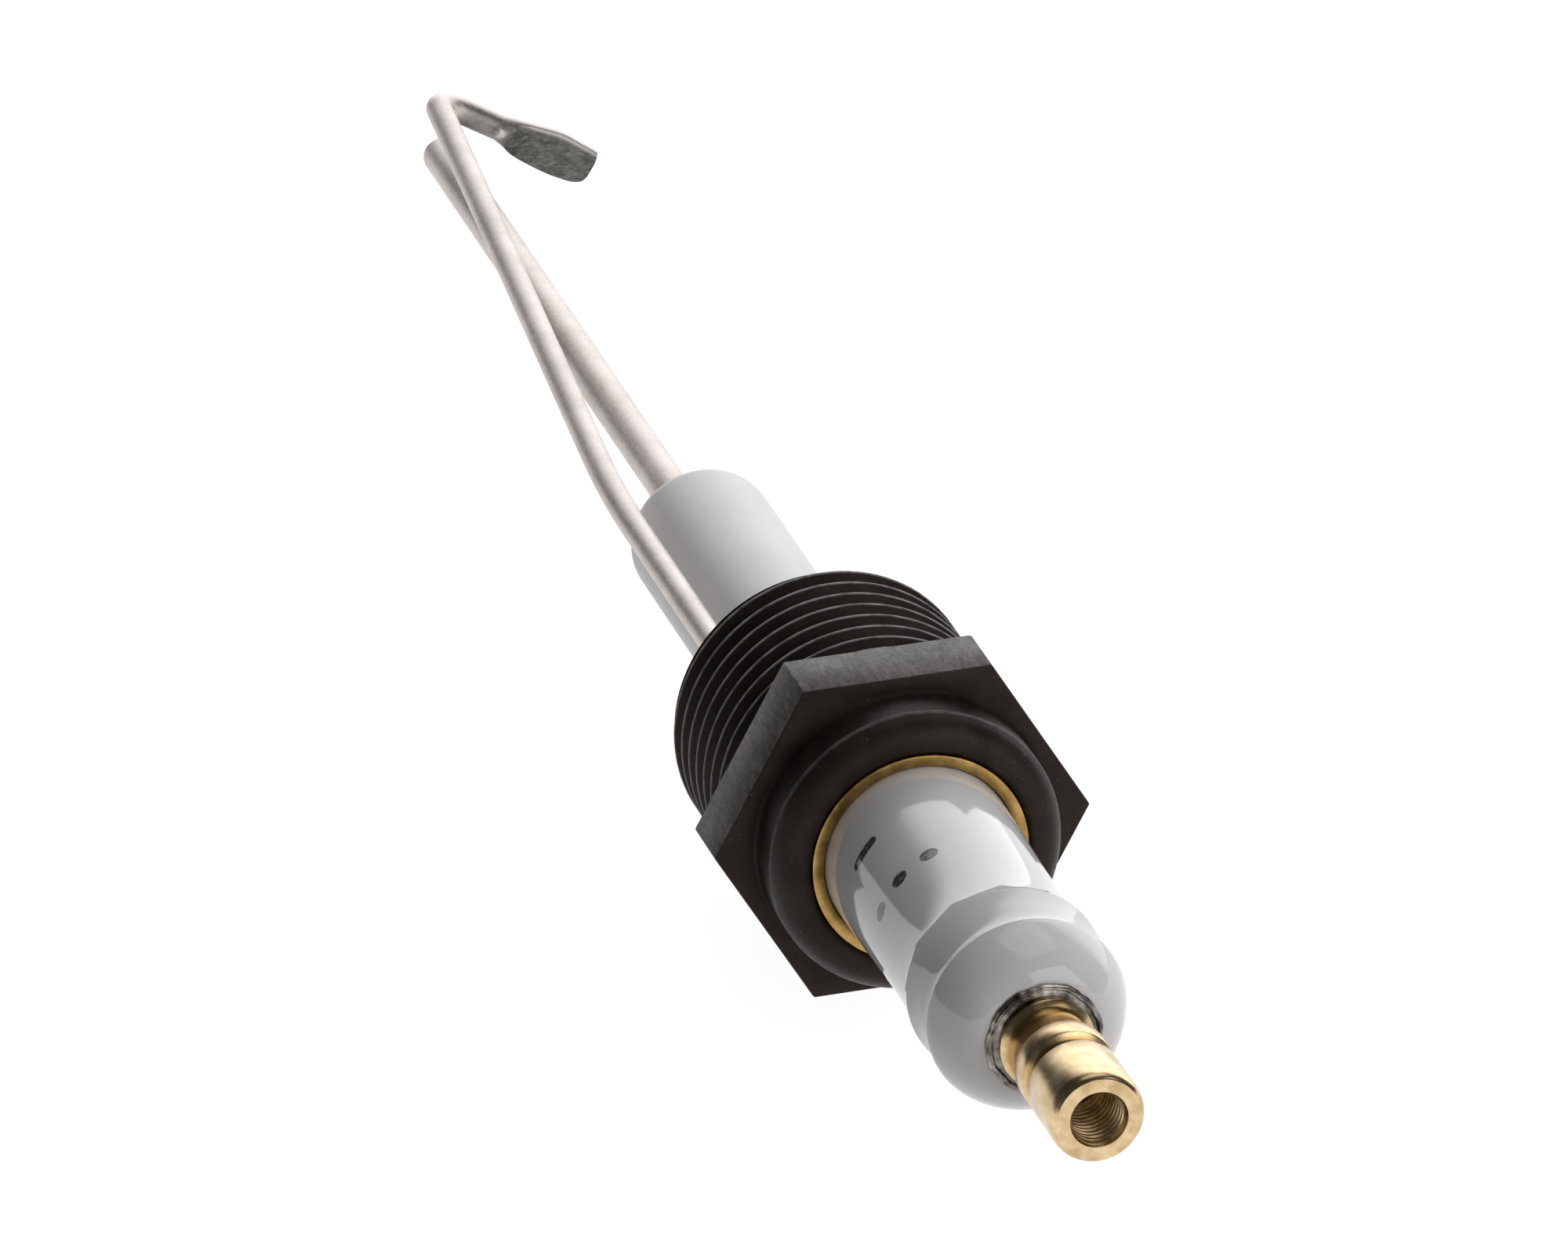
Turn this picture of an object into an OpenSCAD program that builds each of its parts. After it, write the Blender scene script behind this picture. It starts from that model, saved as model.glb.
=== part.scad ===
// Screw-in ignition electrode for a gas burner.
// The axis lies along +Y, towards the electrode tips. The origin is on the axis,
// in the plane of the hexagon's sealing face. Two flats of the hexagon face up and down.

/* [Body] */
// Width across the flats of the hexagon
hex_flats = 22.2; // [21:0.1:24]
// Thickness of the hexagon
hex_thick = 5.1; // [4:0.1:8]
// Length of the threaded shank
shank_length = 15.5; // [14:0.1:16.5]
// Major diameter of the mounting thread
thread_major = 20.96; // [20.6:0.01:21]
// Pitch of the mounting thread
thread_pitch = 1.814; // [1.5:0.001:1.9]
// Outer diameter of the crimped collar
collar_dia = 19.9; // [19:0.1:20.4]
// Height of the crimped collar above the hexagon
collar_height = 4.4; // [4:0.1:5]

/* [Insulator] */
// Diameter of the ceramic where it leaves the collar
ceramic_rear_dia = 13.0; // [12.6:0.1:13.2]
// Diameter of the ceramic neck in front of the ribs
ceramic_neck_dia = 12.3; // [11.8:0.1:12.6]
// Diameter over the two grip ribs
ceramic_rib_dia = 13.4; // [13:0.1:14]
// Diameter of the ceramic nose on the flame side
ceramic_nose_dia = 10.1; // [9.6:0.1:10.4]
// How far the ceramic nose reaches in front of the sealing face
ceramic_nose_reach = 45.6; // [35:0.1:60]
// How far the ceramic tail reaches behind the sealing face
ceramic_tail_reach = 37.9; // [36:0.1:40]

/* [Electrodes] */
// Diameter of the centre electrode
centre_dia = 2.7; // [2.4:0.1:3]
// How far the centre electrode reaches in front of the sealing face
centre_reach = 114.4; // [100:0.1:130]
// Diameter of the ground electrode
ground_dia = 1.85; // [1.6:0.1:2]
// Distance of the ground electrode's foot from the axis
ground_offset = 6.8; // [6.7:0.05:7]
// Length of the ground electrode's straight foot
ground_foot = 28.9; // [20:0.1:35]
// Length of its leaning run
ground_run = 62.1; // [55:0.1:64]
// Angle at which the run leans across the centre electrode
ground_lean = 4.6; // [3:0.1:6]

/* [Terminal] */
// Diameter of the snap terminal
terminal_dia = 6.35; // [6:0.05:6.5]
// How far the terminal reaches behind the sealing face
terminal_reach = 50.5; // [49:0.1:52]
// Major diameter of the terminal stud's thread
stud_major = 4.0; // [3.5:0.1:4.2]

/* [Hidden] */

$fn = 96;
eps = 0.01;

// Body: thread, bores and collar.
thread_depth = 0.64 * thread_pitch;
thread_root_r = thread_major / 2 - thread_depth;
crest_flat = 0.3;
root_flat = 0.28;
groove_half = (thread_pitch - crest_flat) / 2;
groove_count = 8;
first_groove = 1.35;
shank_chamfer = 0.6;
chamfer_length = 1.1;
body_bore_r = 8.0;
front_bore_r = 5.65;
seat_y = 6.0;
collar_r = collar_dia / 2;
collar_end = -hex_thick - collar_height;
collar_curl = 1.75;
lip_r = 7.45;
lip_shoulder = 1.0;
fillet_r = 0.7;

// Seal stack, from the seat towards the collar.
seat_washer_thick = 0.8;
flange_r = 7.8;
flange_front = seat_y - seat_washer_thick;
flange_back = -3.0;
packing_ring_thick = 0.8;
talc_back = -7.2;
crimp_ring_end = collar_end + 0.05;
ring_clearance = 0.05;

// Insulator: tail, ribs and bores.
rear_r = ceramic_rear_dia / 2;
neck_r = ceramic_neck_dia / 2;
rib_r = ceramic_rib_dia / 2;
nose_r = ceramic_nose_dia / 2;
nose_round = 1.5;
neck_start = -26.8;
front_rib_y = -29.3;
rib_groove_y = -33.1;
rear_rib_y = -34.1;
tail_face_r = 4.3;
rod_bore_r = centre_dia / 2 + 0.2;
stud_bore_r = 2.6;
bore_step = -8;

// Centre electrode, seal and terminal.
centre_r = centre_dia / 2;
head_r = 2.2;
head_thick = 1.4;
tip_chamfer = 0.35;
cement_depth = 6;
seal_back = -17;
stud_r = stud_major / 2;
stud_root_r = stud_r - 0.35;
stud_pitch = 0.7;
stud_foot = -13;
stud_end = -44.6;
stud_thread_start = -36.2;
washer_r = 3.98;
washer_back = -38.3;
terminal_r = terminal_dia / 2;
terminal_groove_r = 2.55;
terminal_hole_r = 1.65;
rib_front = -41.65;
rib_back = -43.6;
barrel_front = -45.1;
barrel_round = 0.4;
mouth_chamfer = 0.3;

// Ground electrode: where it stands and how its end is flattened.
ground_r = ground_dia / 2;
joint_overlap = 0.2;
bend_swell = 0.02;
foot_angle = 149;
lean_heading = 22;
lean_bend_r = 40;
hook_bend_r = 1.9;
hook_heading = -31;
hook_leg = 3.4;
paddle_length = 7.4;
paddle_width = 3.1;
paddle_thick = 1.05;
paddle_neck = 2.2;
weld_r = 1.55;
weld_height = 0.55;

steel_black = "#2b2624";
steel_plain = "#9a948c";
porcelain = "#f2f2ee";
brass = "#c39a4a";
nickel = "#b9b6ae";
talc = "#d9d5c6";
cement = "#c9c4b6";
glass_grey = "#4d5256";

// Turns a shape drawn along local +Z so that it lies along +Y.
module along_y() { rotate([-90, 0, 0]) children(); }

// A solid of revolution about +Y from points given as [radius, y].
module turned(points) { along_y() rotate_extrude() polygon(points); }

// A plain ring or disc about +Y between two stations.
module ring(from_y, to_y, outer, inner = 0) {
    along_y() translate([0, 0, from_y]) difference() {
        cylinder(h = to_y - from_y, r = outer);
        if (inner > 0) translate([0, 0, -1]) cylinder(h = to_y - from_y + 2, r = inner);
    }
}

// Points of an arc as [radius, y], about a centre, between two angles.
function arc(centre_x, centre_y, r, from_a, to_a, steps = 8) =
    [for (k = [0 : steps]) let (a = from_a + (to_a - from_a) * k / steps)
        [centre_x + r * cos(a), centre_y + r * sin(a)]];

// One annular groove of thread profile, cut down to the root radius.
module thread_groove(y, outer, root, half, root_half) {
    turned([
        [outer + eps, y - half - eps], [root, y - root_half],
        [root, y + root_half], [outer + eps, y + half + eps]
    ]);
}

// A length of rod along +Z that places its children at its far end. It reaches a little
// into the slightly fuller bends before and after it; the first length has nothing before it.
module straight(length, lead_in = joint_overlap) {
    translate([0, 0, -lead_in]) cylinder(h = length + lead_in + joint_overlap, r = ground_r);
    translate([0, 0, length]) children();
}

// A bend of the rod in a plane at the given heading, with its children at the far end.
module bend(angle, bend_r, heading) {
    rotate([0, 0, heading]) {
        translate([bend_r, 0, 0]) rotate([90, 0, 180])
            rotate_extrude(angle = angle) translate([bend_r, 0]) circle(r = ground_r + bend_swell);
        translate([bend_r * (1 - cos(angle)), 0, bend_r * sin(angle)])
            rotate([0, angle, 0]) children();
    }
}

// The hammered end of the ground electrode, along +Z, thin across local X.
module paddle() {
    half = paddle_width / 2;
    end_skew = 0.15;
    overlap = 0.8;
    rotate([0, 90, 0]) translate([0, 0, -paddle_thick / 2])
        linear_extrude(paddle_thick) polygon([
            [overlap, -ground_r * 0.8], [0, -ground_r * 0.8], [-paddle_neck, -half], [-paddle_length + 0.8, -half],
            [-paddle_length, -half * 0.5], [-paddle_length - end_skew, half * 0.75],
            [-paddle_length + 0.4, half], [-paddle_neck, half], [0, ground_r * 0.8],
            [overlap, ground_r * 0.8]
        ]);
}

// Puts local +Z along +Y and local +X along the row's +X, at the foot of the rod.
module at_ground_foot() {
    translate([ground_offset * cos(foot_angle), shank_length, ground_offset * sin(foot_angle)])
        along_y() children();
}

module hex_body() {
    color(steel_black) difference() {
        union() {
            along_y() translate([0, 0, -hex_thick])
                cylinder(h = hex_thick, r = hex_flats / 2 / cos(30), $fn = 6);
            turned([
                [0, 0], [thread_major / 2, 0], [thread_major / 2, shank_length - chamfer_length],
                [thread_major / 2 - shank_chamfer, shank_length], [0, shank_length]
            ]);
            turned(concat(
                [[0, -hex_thick + eps], [collar_r + fillet_r, -hex_thick + eps]],
                arc(collar_r + fillet_r, -hex_thick - fillet_r, fillet_r, 90, 180),
                arc(collar_r - collar_curl, collar_end + collar_curl, collar_curl, 0, -70),
                [[lip_r, collar_end], [0, collar_end]]
            ));
        }
        turned([
            [0, seat_y], [body_bore_r, seat_y],
            [body_bore_r, collar_end + lip_shoulder + 0.55], [lip_r, collar_end + lip_shoulder],
            [lip_r, collar_end - 1], [0, collar_end - 1]
        ]);
        ring(seat_y - 1, shank_length + 1, front_bore_r);
        for (k = [0 : groove_count - 1])
            thread_groove(first_groove + k * thread_pitch, thread_major / 2,
                thread_root_r, groove_half, root_flat / 2);
    }
}

module seat_washer() {
    color(steel_plain) ring(flange_front, seat_y, body_bore_r - ring_clearance,
        nose_r + ring_clearance);
}

module lower_packing_ring() {
    color(steel_plain) ring(flange_back - packing_ring_thick, flange_back,
        body_bore_r - ring_clearance, rear_r + ring_clearance);
}

module talc_packing() {
    color(talc) ring(talc_back, flange_back - packing_ring_thick, body_bore_r, rear_r);
}

module crimp_ring() {
    color(brass) turned([
        [rear_r + ring_clearance, talc_back], [body_bore_r - ring_clearance, talc_back],
        [body_bore_r - ring_clearance, collar_end + lip_shoulder + 0.55],
        [lip_r - ring_clearance, collar_end + lip_shoulder],
        [lip_r - ring_clearance, crimp_ring_end], [rear_r + ring_clearance, crimp_ring_end]
    ]);
}

module insulator() {
    color(porcelain) difference() {
        turned(concat(
            [[0, ceramic_nose_reach]],
            arc(nose_r - nose_round, ceramic_nose_reach - nose_round, nose_round, 90, 0),
            [[nose_r, flange_front], [flange_r, flange_front], [flange_r, flange_back],
             [rear_r, flange_back], [rear_r, collar_end], [neck_r, neck_start]],
            [for (k = [1 : 5]) [neck_r + (rib_r - 0.1 - neck_r) * (1 - cos(180 * k / 5)) / 2,
                neck_start + (front_rib_y - neck_start) * k / 5]],
            [for (k = [1 : 5]) [rib_r - 0.1 - (rib_r - 0.1 - neck_r) * (1 - cos(90 * k / 5)),
                front_rib_y + (rib_groove_y - front_rib_y) * k / 5]],
            [for (k = [1 : 3]) [neck_r + (rib_r - neck_r) * sin(90 * k / 3),
                rib_groove_y + (rear_rib_y - rib_groove_y) * k / 3]],
            [for (k = [1 : 7]) [tail_face_r + (rib_r - tail_face_r) * cos(90 * k / 7),
                rear_rib_y - (ceramic_tail_reach + rear_rib_y) * sin(90 * k / 7)]],
            [[0, -ceramic_tail_reach]]
        ));
        ring(bore_step - 1, ceramic_nose_reach + 1, rod_bore_r);
        ring(-ceramic_tail_reach - 1, bore_step, stud_bore_r);
    }
}

module centre_electrode() {
    color(nickel) turned([
        [0, bore_step - head_thick], [head_r, bore_step - head_thick], [head_r, bore_step],
        [centre_r, bore_step], [centre_r, centre_reach - tip_chamfer],
        [centre_r - tip_chamfer, centre_reach], [0, centre_reach]
    ]);
}

module nose_cement() {
    color(cement) ring(ceramic_nose_reach - cement_depth, ceramic_nose_reach - 0.2,
        rod_bore_r, centre_r);
}

module glass_seal() {
    color(glass_grey) difference() {
        ring(seal_back, bore_step, stud_bore_r);
        ring(bore_step - head_thick, bore_step + 1, head_r);
        ring(seal_back - 1, stud_foot, stud_r);
    }
}

module terminal_stud() {
    color(steel_plain) difference() {
        ring(stud_end, stud_foot, stud_r);
        for (y = [stud_end + 0.5 : stud_pitch : stud_thread_start])
            thread_groove(y, stud_r, stud_root_r, stud_pitch / 2 - 0.08, 0.05);
    }
}

module stud_cement() {
    color(cement) ring(-ceramic_tail_reach + 0.3, seal_back, stud_bore_r, stud_r);
}

module base_washer() {
    color(nickel) turned([
        [stud_r, -ceramic_tail_reach], [washer_r, -ceramic_tail_reach],
        [washer_r - 0.15, washer_back + 0.1], [washer_r - 0.5, washer_back], [stud_r, washer_back]
    ]);
}

module terminal_nut() {
    color(brass) difference() {
        turned(concat(
            [[0, washer_back], [terminal_r, washer_back], [terminal_r, washer_back - 0.9],
             [terminal_groove_r + 0.15, washer_back - 1.7], [terminal_groove_r + 0.15, rib_front + 0.5],
             [terminal_r, rib_front], [terminal_r, rib_back], [terminal_groove_r, rib_back - 0.35],
             [terminal_groove_r, barrel_front + 0.45], [terminal_r, barrel_front]],
            arc(terminal_r - barrel_round, -terminal_reach + barrel_round, barrel_round, 0, -90, 5),
            [[0, -terminal_reach]]
        ));
        ring(-terminal_reach - 1, stud_end, terminal_hole_r);
        ring(stud_end - eps, washer_back + 1, stud_r);
        turned([
            [0, -terminal_reach - eps], [terminal_hole_r + mouth_chamfer, -terminal_reach - eps],
            [terminal_hole_r, -terminal_reach + mouth_chamfer], [0, -terminal_reach + mouth_chamfer]
        ]);
    }
}

module ground_electrode() {
    color(steel_plain) at_ground_foot()
        straight(ground_foot, 0)
        bend(ground_lean, lean_bend_r, -lean_heading)
        straight(ground_run)
        bend(90, hook_bend_r, lean_heading - hook_heading)
        straight(hook_leg)
        paddle();
}

module ground_weld() {
    color(steel_plain) difference() {
        at_ground_foot() cylinder(h = weld_height, r1 = weld_r, r2 = ground_r + 0.15);
        at_ground_foot() translate([0, 0, -1]) cylinder(h = weld_height + 2, r = ground_r);
        ring(shank_length - 1, shank_length + 2, front_bore_r);
    }
}

hex_body();
seat_washer();
lower_packing_ring();
talc_packing();
crimp_ring();
insulator();
centre_electrode();
nose_cement();
glass_seal();
terminal_stud();
stud_cement();
base_washer();
terminal_nut();
ground_electrode();
ground_weld();
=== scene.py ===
import math

import bpy
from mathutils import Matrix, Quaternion, Vector


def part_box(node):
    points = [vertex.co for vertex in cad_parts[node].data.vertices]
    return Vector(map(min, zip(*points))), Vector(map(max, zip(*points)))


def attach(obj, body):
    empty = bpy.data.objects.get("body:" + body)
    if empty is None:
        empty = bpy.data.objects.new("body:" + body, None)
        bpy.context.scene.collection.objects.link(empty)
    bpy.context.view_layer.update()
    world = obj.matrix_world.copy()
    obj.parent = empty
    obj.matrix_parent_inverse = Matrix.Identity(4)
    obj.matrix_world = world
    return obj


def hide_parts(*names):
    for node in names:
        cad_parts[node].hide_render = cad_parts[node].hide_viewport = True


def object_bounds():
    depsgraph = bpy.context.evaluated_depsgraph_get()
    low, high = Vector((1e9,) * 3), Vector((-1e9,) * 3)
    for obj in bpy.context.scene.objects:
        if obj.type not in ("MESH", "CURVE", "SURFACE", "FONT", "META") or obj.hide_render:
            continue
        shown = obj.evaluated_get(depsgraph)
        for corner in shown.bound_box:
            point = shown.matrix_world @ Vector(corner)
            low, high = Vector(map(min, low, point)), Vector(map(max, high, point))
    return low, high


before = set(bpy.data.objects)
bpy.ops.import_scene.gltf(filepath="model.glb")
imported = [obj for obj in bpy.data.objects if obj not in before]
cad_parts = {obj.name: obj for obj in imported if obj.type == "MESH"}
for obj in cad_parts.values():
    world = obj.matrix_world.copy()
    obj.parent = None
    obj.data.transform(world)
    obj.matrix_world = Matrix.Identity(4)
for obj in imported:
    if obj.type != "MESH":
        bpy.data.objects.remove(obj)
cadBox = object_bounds()
print("frame loaded:", len(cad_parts), "nodes")

# The object's axis is +Y, towards the electrode tips. Sizes in the dictionaries are millimetres.
mm = 0.001
mergeGap = 0.002 * mm
fullTurn = 2 * math.pi


def boxOf(node):
    low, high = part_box(node)
    return low / mm, high / mm


def deselectAll():
    if bpy.context.mode != "OBJECT":
        bpy.ops.object.mode_set(mode="OBJECT")
    bpy.ops.object.select_all(action="DESELECT")


def takeUp(piece):
    deselectAll()
    piece.select_set(True)
    bpy.context.view_layer.objects.active = piece


def editAll(piece):
    takeUp(piece)
    bpy.ops.object.mode_set(mode="EDIT")
    bpy.ops.mesh.select_all(action="SELECT")


def arcPoints(centre, radius, fromDegrees, toDegrees, steps=6):
    # points of a round stretch of an outline, ends included
    points = []
    for step in range(steps + 1):
        angle = math.radians(fromDegrees + (toDegrees - fromDegrees) * step / steps)
        points.append((centre[0] + radius * math.cos(angle), centre[1] + radius * math.sin(angle)))
    return points


def flowPoints(points, perSpan=5):
    # a smooth run through a few outline points, ends included
    padded = [points[0], *points, points[-1]]
    flow = []
    for before, start, end, after in zip(padded, padded[1:], padded[2:], padded[3:]):
        for step in range(perSpan):
            t = step / perSpan
            flow.append(tuple(
                0.5 * (2 * s + (e - b) * t
                       + (2 * b - 5 * s + 4 * e - a) * t ** 2
                       + (3 * s - b - 3 * e + a) * t ** 3)
                for b, s, e, a in zip(before, start, end, after)))
    return flow + [points[-1]]


def drawOutline(name, outline):
    # a chain of edges through (radius, station) points, extruded from one vertex
    deselectAll()
    bpy.ops.mesh.primitive_plane_add(size=mm)
    piece = bpy.context.object
    piece.name = piece.data.name = name
    bpy.ops.object.mode_set(mode="EDIT")
    bpy.ops.mesh.select_all(action="SELECT")
    bpy.ops.mesh.merge(type="CENTER")
    bpy.ops.transform.translate(value=(outline[0][0] * mm, outline[0][1] * mm, 0))
    for (radius, station), (nextRadius, nextStation) in zip(outline, outline[1:]):
        step = ((nextRadius - radius) * mm, (nextStation - station) * mm, 0)
        bpy.ops.mesh.extrude_vertices_move(TRANSFORM_OT_translate={"value": step})
    return piece


def turnPiece(name, outline, closed=False, steps=128):
    # a lathe-turned solid: the outline is spun once round the axis
    piece = drawOutline(name, outline + outline[:1] if closed else outline)
    bpy.ops.mesh.select_all(action="SELECT")
    bpy.ops.mesh.remove_doubles(threshold=mergeGap)
    bpy.ops.mesh.spin(steps=steps, angle=fullTurn, center=(0, 0, 0), axis=(0, 1, 0))
    bpy.ops.mesh.select_all(action="SELECT")
    bpy.ops.mesh.remove_doubles(threshold=mergeGap)
    bpy.ops.mesh.normals_make_consistent(inside=False)
    bpy.ops.object.mode_set(mode="OBJECT")
    return piece


def threadPiece(name, tooth, pitch, fromStation, toStation, steps=96):
    # a right-hand helical rod: one pitch of tooth outline is screwed along, then cut flat at both ends
    turns = math.ceil((toStation - fromStation) / pitch) + 3
    piece = drawOutline(name, [(radius, fromStation - 2 * pitch + along) for radius, along in tooth])
    bpy.ops.object.mode_set(mode="OBJECT")
    helix = piece.modifiers.new("Helix", "SCREW")
    helix.axis = "Y"
    helix.angle = fullTurn
    helix.screw_offset = pitch * mm
    helix.iterations = turns
    helix.steps = helix.render_steps = steps
    bpy.ops.object.modifier_apply(modifier=helix.name)
    for station, side in ((fromStation, "clear_inner"), (toStation, "clear_outer")):
        editAll(piece)
        bpy.ops.mesh.remove_doubles(threshold=mergeGap)
        place = (0, station * mm, 0)
        bpy.ops.mesh.bisect(plane_co=place, plane_no=(0, 1, 0), use_fill=True, **{side: True})
    bpy.ops.mesh.select_all(action="SELECT")
    bpy.ops.mesh.normals_make_consistent(inside=False)
    bpy.ops.object.mode_set(mode="OBJECT")
    return piece


def toothOutline(crest, root, pitch, crestFlat, rootFlat, edge):
    # one pitch of thread: flat crest with broken edges, straight flanks, flat root
    flank = (pitch - crestFlat - rootFlat) / 2
    return [(crest, edge), (crest, crestFlat - edge), (crest - edge, crestFlat), (root, crestFlat + flank),
            (root, crestFlat + flank + rootFlat), (crest - edge, pitch), (crest, pitch + edge)]


def combine(piece, other, operation):
    takeUp(piece)
    cut = piece.modifiers.new("Combine", "BOOLEAN")
    cut.operation = operation
    cut.object = other
    cut.solver = "EXACT"
    bpy.ops.object.modifier_apply(modifier=cut.name)
    bpy.data.objects.remove(other)


def finishPiece(piece, nodes, materials, crease=30):
    # closes a piece: clean mesh, smooth shading between creases, and its place in the model
    editAll(piece)
    bpy.ops.mesh.remove_doubles(threshold=mergeGap)
    bpy.ops.mesh.select_all(action="SELECT")
    bpy.ops.mesh.normals_make_consistent(inside=False)
    bpy.ops.object.mode_set(mode="OBJECT")
    bpy.ops.object.transform_apply(location=True, rotation=True, scale=True)
    bpy.ops.object.shade_smooth_by_angle(angle=math.radians(crease))
    piece.data.materials.clear()
    for material in materials:
        piece.data.materials.append(material)
    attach(piece, "root")
    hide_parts(*nodes)
    print("made", piece.name, len(piece.data.polygons), "faces")


def newMaterial(name, settings):
    material = bpy.data.materials.new(name)
    material.use_nodes = True
    shader = material.node_tree.nodes["Principled BSDF"]
    for socket, value in settings.items():
        shader.inputs[socket].default_value = value
    return material


def addNode(material, kind, inputs=None, **properties):
    tree = material.node_tree
    made = tree.nodes.new("ShaderNode" + kind)
    for name, value in properties.items():
        setattr(made, name, value)
    for key, value in (inputs or {}).items():
        if isinstance(value, bpy.types.NodeSocket):
            tree.links.new(value, made.inputs[key])
        else:
            made.inputs[key].default_value = value
    return made


def connect(material, socket, name):
    shader = material.node_tree.nodes["Principled BSDF"]
    material.node_tree.links.new(socket, shader.inputs[name])


def pointIn(material, scale=(1, 1, 1)):
    # object coordinates in millimetres, stretched by scale
    place = addNode(material, "TexCoord").outputs["Object"]
    stretch = tuple(value / mm for value in scale)
    return addNode(material, "Mapping", {"Vector": place, "Scale": stretch}).outputs["Vector"]


def noiseOf(material, point, size, detail=3.0, rough=0.55):
    inputs = {"Vector": point, "Scale": 1 / size, "Detail": detail, "Roughness": rough}
    return addNode(material, "TexNoise", inputs).outputs["Fac"]


def spread(material, value, fromLow, fromHigh, toLow=0.0, toHigh=1.0):
    # takes one range smoothly to another
    inputs = {"Value": value, "From Min": fromLow, "From Max": fromHigh, "To Min": toLow, "To Max": toHigh}
    return addNode(material, "MapRange", inputs, interpolation_type="SMOOTHSTEP").outputs["Result"]


def calc(material, operation, first, second=0.0):
    return addNode(material, "Math", {0: first, 1: second}, operation=operation).outputs[0]


def product(material, first, second):
    return calc(material, "MULTIPLY", first, second)


def weigh(material, first, second, share):
    # a mean of two values, with the first one's share
    return calc(material, "ADD", product(material, first, share), product(material, second, 1 - share))


def opaque(colour):
    return colour if isinstance(colour, bpy.types.NodeSocket) else (*colour, 1)


def blendColours(material, amount, low, high):
    # a colour Mix node keeps its factor and two colours at inputs 0, 6 and 7
    inputs = {0: amount, 6: opaque(low), 7: opaque(high)}
    return addNode(material, "Mix", inputs, data_type="RGBA").outputs[2]


def radiusIn(material):
    flat = pointIn(material, (1, 0, 1))
    return addNode(material, "VectorMath", {0: flat}, operation="LENGTH").outputs["Value"]


def partsOf(material, point):
    return addNode(material, "SeparateXYZ", {0: point}).outputs


def roughen(material, height, strength, distance):
    # distance is in millimetres
    inputs = {"Height": height, "Strength": strength, "Distance": distance * mm}
    connect(material, addNode(material, "Bump", inputs).outputs["Normal"], "Normal")


oxide = {
    "dark": (0.0115, 0.0068, 0.0052), "light": (0.027, 0.0185, 0.0150), "roughness": (0.40, 0.60),
    "sheen": (1.0, 0.87, 0.81, 1.0), "grainSize": 0.16, "cloudSize": 2.6,
    "dust": (0.20, 0.18, 0.165), "dustSize": 0.28, "dustFrom": (0.745, 0.80), "dustAmount": 0.6,
    # radius and station of the bright edges, low to high
    "crestRadii": (10.38, 10.45), "rimRadii": (9.80, 9.92), "rimStations": (-8.34, -8.22, -7.96, -7.84),
}


def oxideMaterial(name, wearColour, wornPart, specular):
    # black oxide on steel, with bare metal showing through where it is worn
    material = newMaterial(name, {"Specular IOR Level": specular, "Specular Tint": oxide["sheen"]})
    point = pointIn(material)
    cloud = noiseOf(material, point, oxide["cloudSize"], 4)
    grain = noiseOf(material, point, oxide["grainSize"], 3, 0.65)
    colour = blendColours(material, spread(material, cloud, 0.35, 0.7), oxide["dark"], oxide["light"])
    patchy = spread(material, noiseOf(material, point, 0.9, 3), 0.3, 0.6, 0.35, 1.0)
    if wornPart == "crests":
        worn = product(material, spread(material, radiusIn(material), *oxide["crestRadii"]), patchy)
    elif wornPart == "flats":
        streak = noiseOf(material, pointIn(material, (1, 0.28, 1)), 0.35, 4, 0.7)
        slow = spread(material, cloud, 0.3, 0.7, 0.45, 1.0)
        worn = product(material, slow, spread(material, streak, 0.32, 0.68, 0.25, 1.0))
    else:
        station = partsOf(material, point)[1]
        start, full, fade, end = oxide["rimStations"]
        band = product(material, spread(material, station, start, full), spread(material, station, end, fade))
        rim = product(material, band, spread(material, radiusIn(material), *oxide["rimRadii"]))
        worn = product(material, rim, patchy)
    colour = blendColours(material, worn, colour, wearColour)
    dust = spread(material, noiseOf(material, point, oxide["dustSize"], 1, 0.4), *oxide["dustFrom"])
    colour = blendColours(material, product(material, dust, oxide["dustAmount"]), colour, oxide["dust"])
    connect(material, colour, "Base Color")
    connect(material, spread(material, grain, 0.25, 0.75, *oxide["roughness"]), "Roughness")
    roughen(material, grain, 0.35, 0.03)
    return material


glaze = {
    "body": (0.88, 0.87, 0.875), "shade": (0.84, 0.83, 0.83), "cloudSize": 7.0,
    "speck": (0.38, 0.33, 0.28), "speckSize": 0.42, "speckAmount": 0.35,
    "gloss": (0.05, 0.10), "matt": 0.30, "mattFrom": (8.0, 16.0),
    "ink": (0.028, 0.024, 0.022), "markRadius": 6.35, "markEdge": 0.06,
    # turn round the axis in degrees, station, half length, half width
    "marks": [
        (146, -14.6, 0.9, 0.42), (160, -20.6, 0.05, 0.62), (137, -20.6, 0.05, 0.62),
        (114, -20.6, 0.05, 0.62),
    ],
}


def printedMark(material, angle, station, mark):
    # 1 inside a round-ended bar that runs round the ceramic, 0 outside it
    turn, place, halfLength, halfWidth = mark
    away = product(material, calc(material, "SUBTRACT", angle, math.radians(turn)), glaze["markRadius"])
    past = calc(material, "SUBTRACT", calc(material, "ABSOLUTE", away), halfLength)
    across = calc(material, "POWER", calc(material, "MAXIMUM", past, 0.0), 2.0)
    along = calc(material, "ABSOLUTE", calc(material, "SUBTRACT", station, place))
    reach = calc(material, "SQRT", calc(material, "ADD", across, calc(material, "POWER", along, 2.0)))
    return spread(material, reach, halfWidth + glaze["markEdge"], halfWidth - glaze["markEdge"])


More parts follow.
